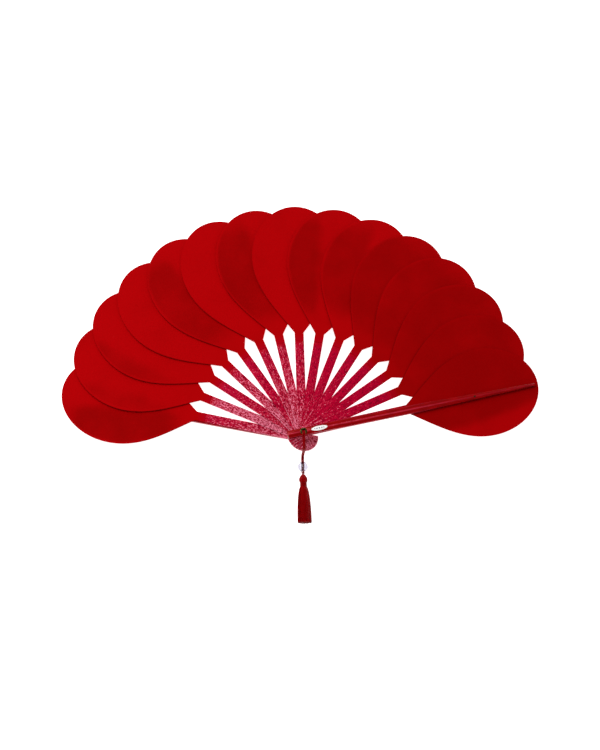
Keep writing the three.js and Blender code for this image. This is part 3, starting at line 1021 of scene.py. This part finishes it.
@dataclass
class Petals:
    """One silk petal for each leaf. Sizes are those of the CAD outline."""

    neck: float = 4.1 * MM
    start: float = 89.0 * MM
    flare_start: float = 97.0 * MM
    flare_angle: float = math.radians(36)
    flare_pull: float = 26.6 * MM
    widest: float = 170.0 * MM
    half: float = 41.15 * MM
    side_pull: float = 30.5 * MM
    top: float = 220.2 * MM
    tip_half: float = 0.4 * MM
    thick: float = 0.26 * MM
    left_lift: float = 1.0 * MM  # the left edge rides on the petal beside it
    right_drop: float = 1.0 * MM  # and the right edge tucks under the next
    columns: int = 41
    wave_height: float = 0.10 * MM
    wave_length: float = 11 * MM
    edge_shadow_width: float = 0.9 * MM
    cloth_step: float = 0.31  # each petal is cut from another part of the cloth
    # Each petal has a zone of painted shade of its own: how deep it is, how far across it ends (mm), and how
    # much of the painted shade reaches the root and the rim.
    painted_shade_zones: tuple[tuple[float, float, float], ...] = (
        (0.72, -8, 0.1), (0.35, -25, 0.1), (0.45, -25, 0.1), (0.05, -10, 0.0), (0.58, -3, 0.2),
        (0.00, -10, 0.0), (0.72, -3, 0.1), (0.08, -4, 0.3), (0.75, -12, 0.1), (0.62, -3, 0.2),
        (0.76, 40, 0.6), (0.72, 40, 0.6), (0.78, 40, 0.7), (0.82, 40, 0.8), (0.86, 24, 0.9),
    )

    def outline(self) -> tuple[Array, Array]:
        """Gives the petal's half width along it.

        Returns:
            Distances from the pivot and half widths there: a straight neck, a cubic curve and a quarter of
            an ellipse.
        """
        t = np.linspace(0, 1, 34)
        flare = np.array([math.cos(self.flare_angle), math.sin(self.flare_angle)]) * self.flare_pull
        a = np.array([self.flare_start, self.neck])
        d = np.array([self.widest, self.half])
        b, c = a + flare, d - [self.side_pull, 0.0]
        s = t[:, None]
        side = (1 - s) ** 3 * a + 3 * (1 - s) ** 2 * s * b + 3 * (1 - s) * s**2 * c + s**3 * d
        turn = np.linspace(0, np.pi / 2, 30)[1:]
        dome = joined(self.widest + (self.top - self.widest) * np.sin(turn), self.half * np.cos(turn))
        dome[-1, 1] = self.tip_half
        neck = np.array([[self.start, self.neck], [(self.start + self.flare_start) / 2, self.neck]])
        whole = np.vstack([neck, side, dome])
        return whole[:, 0], whole[:, 1]

    def lift(self, x: Array, y: Array) -> Array:
        """Gives how far the silk stands above its flat place.

        It rises to the left edge and falls to the right one with the power 1.7 of the distance across, beyond
        the neck only. It never rises towards the right, so neighbours stay clear however the fan is opened.

        Args:
            x: Places across the leaf.
            y: Places along it.

        Returns:
            The heights.
        """
        share = np.abs(x) / self.half
        height = np.where(x < 0, self.left_lift, -self.right_drop) * share**1.7
        wave = self.wave_height * np.sin(y / self.wave_length) * share * (x < 0)
        return (height + wave) * smoothstep(y, self.flare_start, self.widest)

    def shades(self, leaf: Leaf, x: Array, y: Array) -> tuple[Array, Array]:
        """Gives the painted shade of the cloth and the strength of the painted shadow line along its left
        edge.

        The tone is full, less the depth of the petal's zone of painted shade. The zone fades near the left
        edge, across its own end (which slants by 0.12), and from the widest place towards the root and the
        rim.

        Args:
            leaf: The leaf.
            x: Places across it.
            y: Places along it.

        Returns:
            The painted shade tones and the painted shadow line's strengths, each from 0 to 1.
        """
        depth, end, reach = self.painted_shade_zones[leaf.number - 1]
        inward = x + np.interp(y, *self.outline())
        beside = reach + (1 - reach) * smoothstep(inward, 0.0, 3 * MM)
        along = smoothstep(y, 104 * MM, 128 * MM) * (1 - smoothstep(y, 196 * MM, 218 * MM))
        slant = x + 0.12 * (y - self.widest)
        across = 1 - smoothstep(slant, (end - 6) * MM, (end + 7) * MM)
        # painted shade of the petal's zone
        tone = 0.92 - depth * beside * (reach + (1 - reach) * along) * across
        # painted shadow line along the left edge, over the petal's inner half
        line = 1 - smoothstep(inward, 0.2 * self.edge_shadow_width, self.edge_shadow_width)
        return tone, 0.75 * line * smoothstep(y, 96 * MM, 102 * MM) * (1 - smoothstep(y, 125 * MM, 165 * MM))

    def build_one(self, leaf: Leaf, material: Material) -> None:
        """Makes a petal.

        It is a ring of points at each distance along it: its front from left to right, then its back.

        Args:
            leaf: The leaf.
            material: Its finish.
        """
        low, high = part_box(leaf.petal)
        y, w = self.outline()
        u = np.sin(np.linspace(-np.pi / 2, np.pi / 2, self.columns))
        x = w[:, None] * u[None, :]
        along = np.repeat(y[:, None], self.columns, axis=1)
        raised = self.lift(x, along) + (low[2] + high[2]) / 2
        front = joined(x, along, raised + self.thick / 2)
        back = joined(x, along, raised - self.thick / 2)[:, ::-1]
        rings = np.concatenate([front, back], axis=1)
        made = tube_object(f"{leaf.petal}_silk", turn_about_z(rings, leaf.angle - math.pi / 2))
        local = leaf.own(made)
        write_attribute(made, ALONG, local + [0.0, 0.0, self.cloth_step * leaf.number])
        for name, values in zip((PAINTED_LIGHT_AND_GRAIN, PAINTED_EDGE_SHADOW), self.shades(leaf, local[:, 0], local[:, 1])):
            write_attribute(made, name, values)
        dress(made, material, leaf.body, leaf.petal)

    def build(self, all_leaves: list[Leaf]) -> None:
        """Makes every petal."""
        material = PetalSilk().material()
        for leaf in all_leaves:
            self.build_one(leaf, material)


# ---- sticks, guards and what is on them ----


def softened(node: str, name: str, edge: float, angle: float = math.radians(40)) -> Piece:
    """Copies a CAD node with its hard edges rounded.

    Args:
        node: The CAD node.
        name: The copy's name.
        edge: How wide the rounding is.
        angle: Edges that bend more than this are rounded.

    Returns:
        The copy.
    """
    shape = bmesh.new()
    shape.from_mesh(frame["nodes"][node].data)
    bmesh.ops.remove_doubles(shape, verts=shape.verts, dist=1e-6)
    bmesh.ops.dissolve_limit(shape, angle_limit=math.radians(0.5), verts=shape.verts, edges=shape.edges)
    hard = [e for e in shape.edges if len(e.link_faces) == 2 and e.calc_face_angle() > angle]
    bmesh.ops.bevel(shape, geom=hard, offset=edge, segments=2, profile=0.5, affect="EDGES",
                    clamp_overlap=True)
    mesh = bpy.data.meshes.new(name)
    shape.to_mesh(mesh)
    shape.free()
    return finished(name, mesh, math.radians(35))


@dataclass
class Sticks:
    """The dyed sticks, with their sawn edges softened."""

    edge: float = 0.14 * MM
    wood_step: float = 0.013  # each stick is cut from another part of the wood
    fade: float = 0.5
    fade_span: Span = (32 * MM, 85 * MM)
    # more painted highlight on the sticks' tails at the head
    tail: float = 0.1
    # how much grain and painted highlight show in each stick, from the left: the left sticks get the most
    # painted highlight
    grain_and_glint: tuple[float, ...] = (0.55, 0.85, 0.35, 0.68, 0.17, 0.50, 0.55, 0.40, 0.12, 0.10, 0.10, -0.05, 0.02,
                                0.08, -0.05)

    def flecks(self, leaf: Leaf, y: Array) -> Array:
        """Gives how much pale grain and painted highlight shows: each stick has its own amount, which fades
        towards the petal and rises on the tail.
        """
        fading = self.fade * smoothstep(y, *self.fade_span)
        return self.grain_and_glint[leaf.number - 1] - fading + self.tail * smoothstep(-y, 0.0, 3 * MM)

    def build(self, all_leaves: list[Leaf]) -> None:
        """Makes every stick.

        Args:
            all_leaves: The leaves.
        """
        material = DyedWood().material()
        for leaf in all_leaves:
            made = softened(leaf.stick, f"{leaf.stick}_stick", self.edge)
            local = leaf.own(made)
            write_attribute(made, ALONG, local + [0.0, 0.0, self.wood_step * leaf.number])
            write_attribute(made, PAINTED_LIGHT_AND_GRAIN, self.flecks(leaf, local[:, 1]))
            dress(made, material, leaf.body, leaf.stick)


@dataclass
class Guards:
    """The two lacquered guards with their brads, and the sticker on the front one."""

    edge: float = 0.25 * MM
    lead: float = math.radians(1.0)  # how far each guard stands outside its stick
    ridge_half: float = 0.7 * MM
    roof_slope: float = 0.19
    sticker_length: float = 14.8 * MM
    sticker_width: float = 4.2 * MM
    sticker_place: float = 14.6 * MM
    sticker_gap: float = 0.06 * MM
    sticker_thick: float = 0.14 * MM

    def guard(self, side: Side, leaf: Leaf, material: Material) -> None:
        """Makes one guard.

        Args:
            side: Which of the two.
            leaf: The leaf that it lies on.
            material: Its finish.
        """
        node = f"{side.value}_guard"
        made = softened(node, f"{node}_lacquered", self.edge, math.radians(12))
        write_attribute(made, ALONG, leaf.own(made, self.lead if side is Side.REAR else -self.lead))
        dress(made, material, leaf.body, node)

    def sticker(self, leaf: Leaf) -> None:
        """Makes the sticker: an ellipse on the guard's roof, as rings that shrink to its middle.

        Args:
            leaf: The leaf that the front guard lies on.
        """
        t = around(48)
        share = np.linspace(1, 0.02, 8)[:, None]
        x = share * np.cos(t) * self.sticker_width / 2
        y = share * np.sin(t) * self.sticker_length / 2 + self.sticker_place
        fall = np.clip(np.abs(x) - self.ridge_half, 0, None) * self.roof_slope
        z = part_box("front_guard")[1][2] - fall + self.sticker_gap
        skin = np.concatenate([joined(x, y, z)[::-1], joined(x, y, z + self.sticker_thick)])
        made = tube_object("guard_sticker", turn_about_z(skin, leaf.angle - self.lead - math.pi / 2))
        write_attribute(made, ALONG, leaf.own(made, -self.lead))
        dress(made, StickerPaper().material(), leaf.body, "guard_label")

    def build(self, all_leaves: list[Leaf]) -> None:
        """Makes the guards and the sticker, and gives the brads their finish.

        Args:
            all_leaves: The leaves.
        """
        material = GuardLacquer().material()
        self.guard(Side.REAR, all_leaves[0], material)
        self.guard(Side.FRONT, all_leaves[-1], material)
        self.sticker(all_leaves[-1])
        brass = AgedBrass("brad_dark_brass", bright="#4A3A22", aged="#241A10").material()
        for node in ("front_brad", "rear_brad"):
            frame["nodes"][node].data.materials.clear()
            frame["nodes"][node].data.materials.append(brass)


@dataclass
class Pivot:
    """The brass eyelet: a tube with a flat back head, whose front end is rolled out over a collar."""

    body: str = "rear_leaf"
    bore: float = 1.5 * MM
    tube: float = 1.9 * MM
    roll: float = 0.55 * MM
    rim: float = 3.1 * MM
    core: float = 0.02 * MM  # where the flat ends stop short of the axis
    floor: float = 1.4 * MM
    head: float = 0.6 * MM
    chamfer: float = 0.1 * MM
    collar_play: float = 0.12 * MM
    seat_gap: float = 0.05 * MM
    roll_gap: float = 0.04 * MM

    def eyelet(self, top: float) -> Array:
        """Draws the eyelet's outline: its floor inside, half a circle over the roll, and the outside.

        Args:
            top: How high it stands.

        Returns:
            Radii and heights.
        """
        low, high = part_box("pivot_rivet")
        wide = (high[0] - low[0]) / 2
        t = np.linspace(0, np.pi, 14)
        rolled = [self.bore, top] + self.roll * joined(1 - np.cos(t), np.sin(t) - 1)
        return np.vstack([
            [[self.core, self.floor], [self.bore, self.floor]], rolled,
            [[self.bore + 2 * self.roll, top - self.roll], [self.tube, top - self.roll - self.chamfer],
             [self.tube, self.head], [wide - self.chamfer, self.head], [wide, self.head - self.chamfer],
             [wide, self.chamfer], [wide - self.chamfer, 0.0], [self.core, 0.0]],
        ])

    def collar(self, top: float) -> Array:
        """Draws the collar's section: a circle whose sine and cosine are replaced by their square roots.

        Args:
            top: How high the eyelet stands.

        Returns:
            Radii and heights.
        """
        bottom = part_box("front_guard")[1][2] + self.seat_gap
        inner = self.tube + self.collar_play
        half, height = (self.rim - inner) / 2, (top - self.roll - self.roll_gap - bottom) / 2
        a = np.linspace(0, 2 * np.pi, 24, endpoint=False)
        aside, above = (np.sign(v) * np.abs(v) ** 0.5 for v in (np.cos(a), np.sin(a)))
        return joined(inner + half + half * aside, bottom + height + height * above)

    def build(self) -> None:
        """Turns the eyelet and its collar about Z."""
        brass = AgedBrass().material()
        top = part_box("pivot_rivet")[1][2]
        eyelet = tube_object("pivot_eyelet", turned(self.eyelet(top), 64))
        dress(eyelet, brass, self.body, "pivot_rivet")
        collar = tube_object("pivot_collar_ring", turned(self.collar(top), 64), closed=True)
        dress(collar, brass, self.body, "pivot_collar")


def main() -> None:
    """Makes the scene piece by piece."""
    logging.basicConfig(level=logging.INFO, format="%(name)s: %(message)s")
    studio = Studio()
    studio.camera()
    Tassel().build()
    studio.floor()
    studio.light()
    all_leaves = leaves()
    Petals().build(all_leaves)
    Sticks().build(all_leaves)
    Guards().build(all_leaves)
    Pivot().build()


if __name__ == "__main__":
    main()
